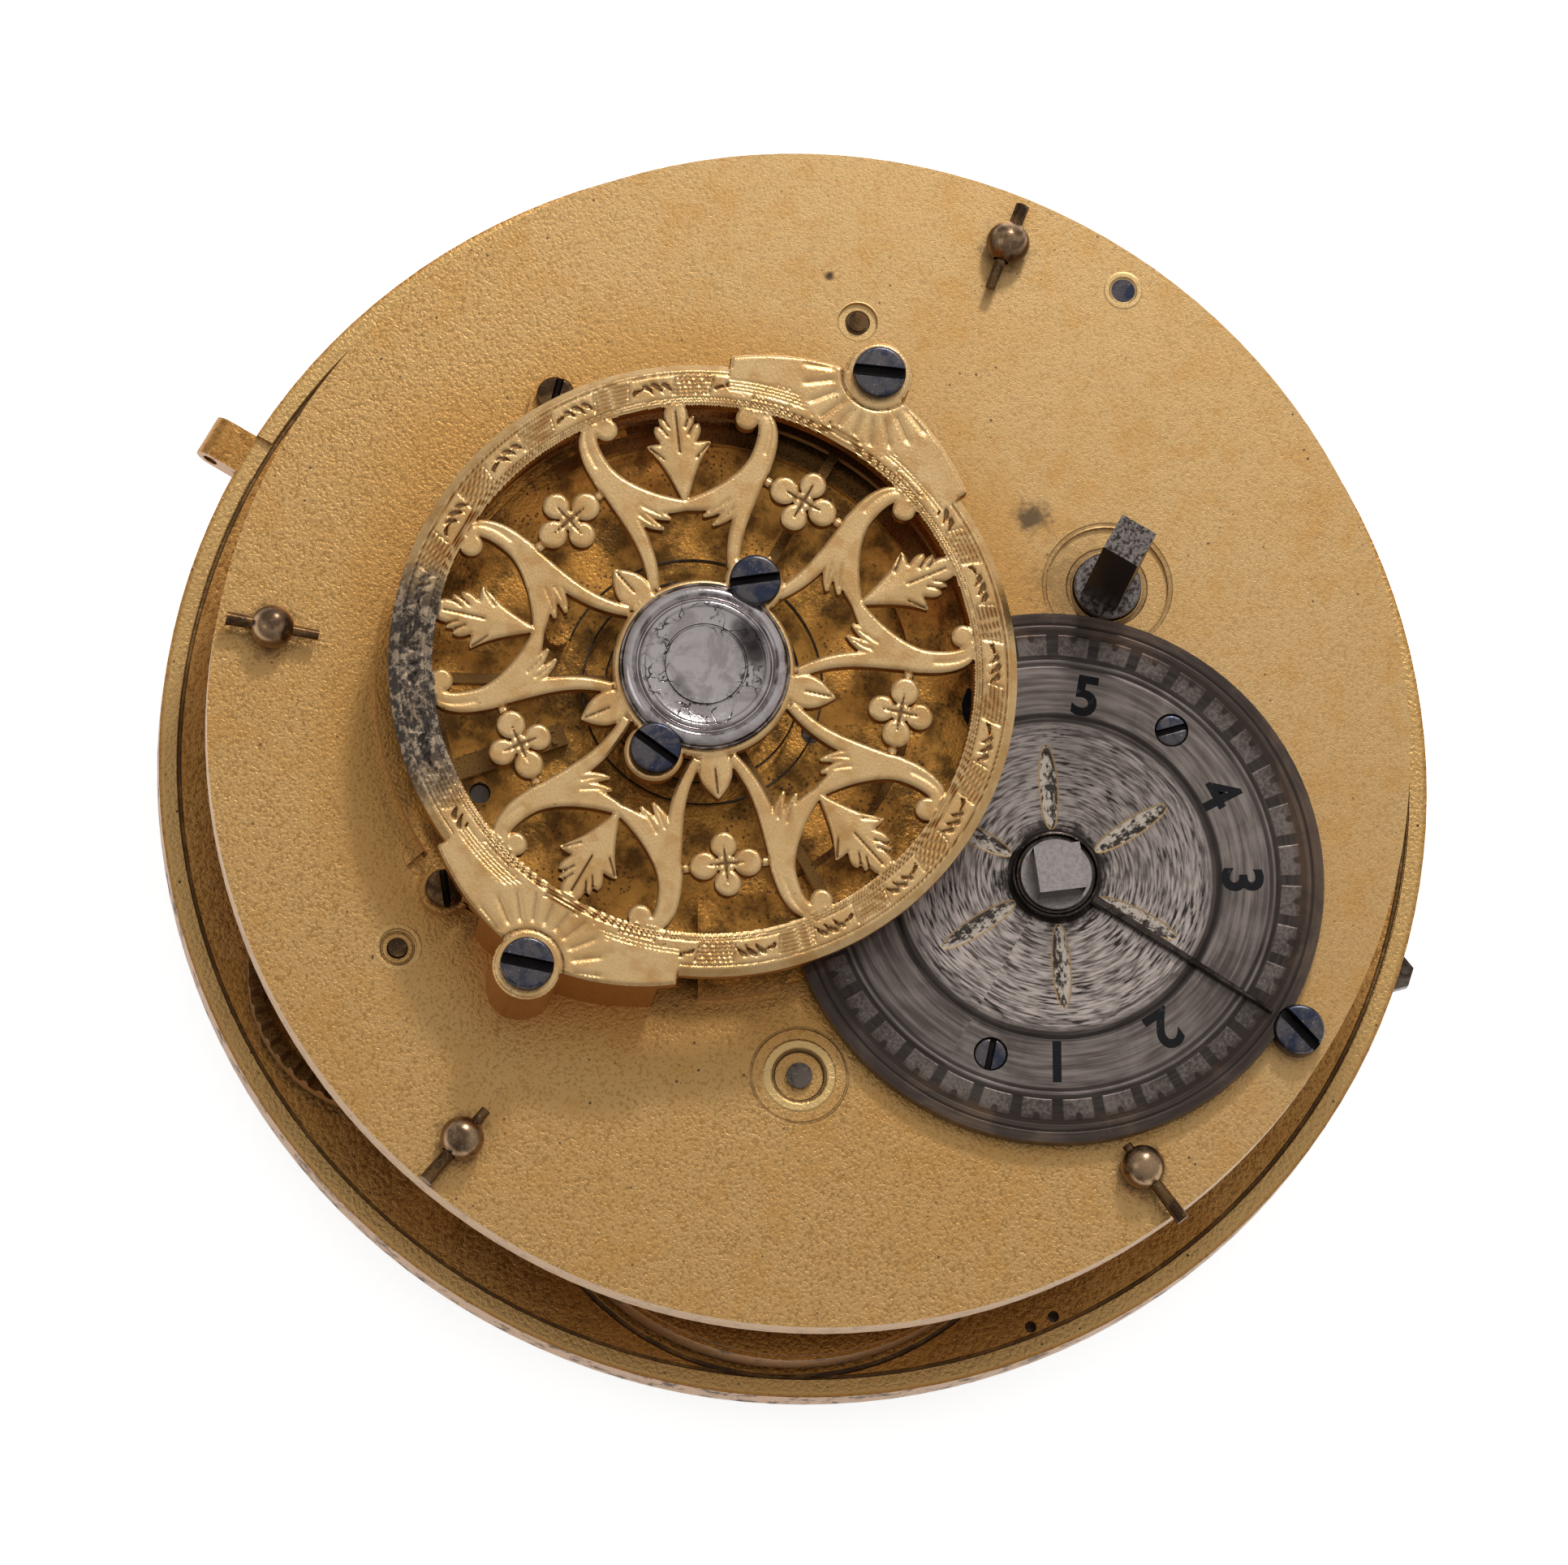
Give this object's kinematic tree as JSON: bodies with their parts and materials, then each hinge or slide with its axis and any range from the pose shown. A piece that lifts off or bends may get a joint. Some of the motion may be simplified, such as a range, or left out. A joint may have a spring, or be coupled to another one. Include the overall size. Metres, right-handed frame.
{
  "type": "pocket watch movement",
  "caption": "Verge-fusee pocket watch movement: two round plates on pinned pillars, pierced balance bridge, regulator disc, fusee, barrel, dial and hands.",
  "frame": {"origin": "on the centre arbor, in the plane of the pillar plate's rim seat", "axes": "+Z towards the back of the watch, +Y towards 12 on the dial, where the case lug is"},
  "size_m": [0.04, 0.0414, 0.0143],
  "materials": {
    "gilt_plate": "matt fire gilding, stippled and worn",
    "gilt_bridge": "engraved and fire gilt, worn bright on the edges",
    "pillar_brass": "aged gilt brass",
    "wheel_brass": "smooth brass",
    "balance_gilt": "gilt, smooth",
    "polished_steel": "polished, stained with age",
    "pin_steel": "plain steel",
    "blued_steel": "heat blued, mottled",
    "silvered_disc": "darkened silvering, circular brushing, engraved scale",
    "enamel": "white enamel, glossy"
  },
  "bodies": {
    "movement": {"pillar_plate": "gilt_plate", "pillars": "pillar_brass", "pillar_pins": "pin_steel", "top_plate": "gilt_plate", "case_lug": "pillar_brass", "balance_bridge": "gilt_bridge", "bridge_screws": "blued_steel", "bridge_cap": "polished_steel", "cap_screws": "blued_steel", "regulator_disc": "silvered_disc", "disc_screws": "blued_steel", "edge_screw": "blued_steel", "regulator_slide": "gilt_plate", "rack_cover": "gilt_plate", "slide_screws": "blued_steel", "potence": "wheel_brass", "counter_potence": "wheel_brass", "potence_screws": "blued_steel", "hairspring_stud": "polished_steel", "hairspring": "blued_steel", "barrel_arbor": "polished_steel", "setup_ratchet": "polished_steel", "setup_click": "polished_steel", "stop_block": "blued_steel", "stop_spring": "pin_steel", "dial": "enamel", "dial_pins": "wheel_brass", "latch_spring": "pin_steel", "mainspring": "pin_steel", "chain_run": "pin_steel"},
    "centre": {"centre_arbor": "polished_steel", "centre_wheel": "wheel_brass", "cannon_pinion": "polished_steel", "minute_hand": "blued_steel"},
    "great": {"great_wheel": "wheel_brass"},
    "click": {"fusee_click": "polished_steel"},
    "fusee": {"fusee": "wheel_brass", "fusee_ratchet": "polished_steel", "fusee_cap": "polished_steel", "chain_on_fusee": "pin_steel"},
    "barrel": {"barrel": "wheel_brass", "barrel_cover": "wheel_brass"},
    "third": {"third_arbor": "polished_steel", "third_wheel": "wheel_brass"},
    "contrate": {"contrate_arbor": "polished_steel", "contrate_wheel": "wheel_brass"},
    "escape": {"escape_arbor": "polished_steel", "escape_wheel": "wheel_brass"},
    "balance": {"verge": "polished_steel", "balance_wheel": "balance_gilt", "hairspring_collet": "wheel_brass"},
    "regulator": {"regulator_arbor": "polished_steel", "regulator_pointer": "polished_steel"},
    "rack": {"regulator_rack": "polished_steel"},
    "latch": {"latch_bolt": "polished_steel"},
    "stop": {"stop_lever": "polished_steel"},
    "minute": {"minute_wheel": "wheel_brass"},
    "hour": {"hour_wheel": "wheel_brass", "hour_hand": "blued_steel"}
  },
  "joints": [
    {"name": "centre_turn", "type": "hinge", "parent": "movement", "child": "centre", "pos_m": [0, 0, 0.002], "axis": [0, 0, 1], "continuous": true},
    {"name": "great_turn", "type": "hinge", "parent": "movement", "child": "great", "pos_m": [0.00888, -0.00561, 0], "axis": [0, 0, 1], "continuous": true},
    {"name": "third_turn", "type": "hinge", "parent": "movement", "child": "third", "pos_m": [-0.00696, 0.00786, 0.002], "axis": [0, 0, 1], "continuous": true},
    {"name": "contrate_turn", "type": "hinge", "parent": "movement", "child": "contrate", "pos_m": [-0.01248, 0.00759, 0.002], "axis": [0, 0, 1], "continuous": true},
    {"name": "escape_turn", "type": "hinge", "parent": "movement", "child": "escape", "pos_m": [-0.0007, 0.00375, 0.0018], "axis": [-0.9508, 0.3099, 0], "continuous": true},
    {"name": "minute_turn", "type": "hinge", "parent": "movement", "child": "minute", "pos_m": [0.002, 0.00346, -0.0014], "axis": [0, 0, 1], "continuous": true},
    {"name": "hour_turn", "type": "hinge", "parent": "movement", "child": "hour", "pos_m": [0, 0, -0.0017], "axis": [0, 0, 1], "continuous": true},
    {"name": "fusee_wind", "type": "hinge", "parent": "great", "child": "fusee", "pos_m": [0.00888, -0.00561, 0.002], "axis": [0, 0, 1], "range_deg": [-1800, 0]},
    {"name": "barrel_turn", "type": "hinge", "parent": "movement", "child": "barrel", "pos_m": [-0.00962, -0.00505, 0.001], "axis": [0, 0, 1], "range_deg": [-1080, 0], "deforming": ["mainspring"]},
    {"name": "click_lift", "type": "hinge", "parent": "great", "child": "click", "pos_m": [0.01278, -0.00321, 0.0002], "axis": [0, 0, 1], "range_deg": [0, 6]},
    {"name": "balance_swing", "type": "hinge", "parent": "movement", "child": "balance", "pos_m": [-0.0007, 0.00375, 0.006], "axis": [0, 0, 1], "range_deg": [-50, 50], "stiffness_Nm_per_rad": 0.0000013, "deforming": ["hairspring"]},
    {"name": "regulator_turn", "type": "hinge", "parent": "movement", "child": "regulator", "pos_m": [-0.00021, -0.00876, 0.005], "axis": [0, 0, 1], "range_deg": [-60, 60]},
    {"name": "rack_turn", "type": "hinge", "parent": "movement", "child": "rack", "pos_m": [-0.0007, 0.00375, 0.005], "axis": [0, 0, 1], "range_deg": [-24, 24]},
    {"name": "latch_slide", "type": "slide", "parent": "movement", "child": "latch", "axis": [-0.2164, 0.9763, 0], "range_m": [0, 0.00045], "stiffness_N_per_m": 200, "deforming": ["latch_spring"]},
    {"name": "stop_lift", "type": "hinge", "parent": "movement", "child": "stop", "pos_m": [0.01642, -0.00187, 0.00305], "axis": [-0.4437, 0.8962, 0], "range_deg": [0, 6]}
  ],
  "couplings": [
    {"joint": "great_turn", "follows": "centre_turn", "ratio": -0.25},
    {"joint": "third_turn", "follows": "centre_turn", "ratio": -9},
    {"joint": "contrate_turn", "follows": "centre_turn", "ratio": 72},
    {"joint": "escape_turn", "follows": "centre_turn", "ratio": -576},
    {"joint": "minute_turn", "follows": "centre_turn", "ratio": -0.33333},
    {"joint": "hour_turn", "follows": "centre_turn", "ratio": 0.083333},
    {"joint": "barrel_turn", "follows": "fusee_wind", "ratio": 0.5952},
    {"joint": "rack_turn", "follows": "regulator_turn", "ratio": -0.3913}
  ]
}
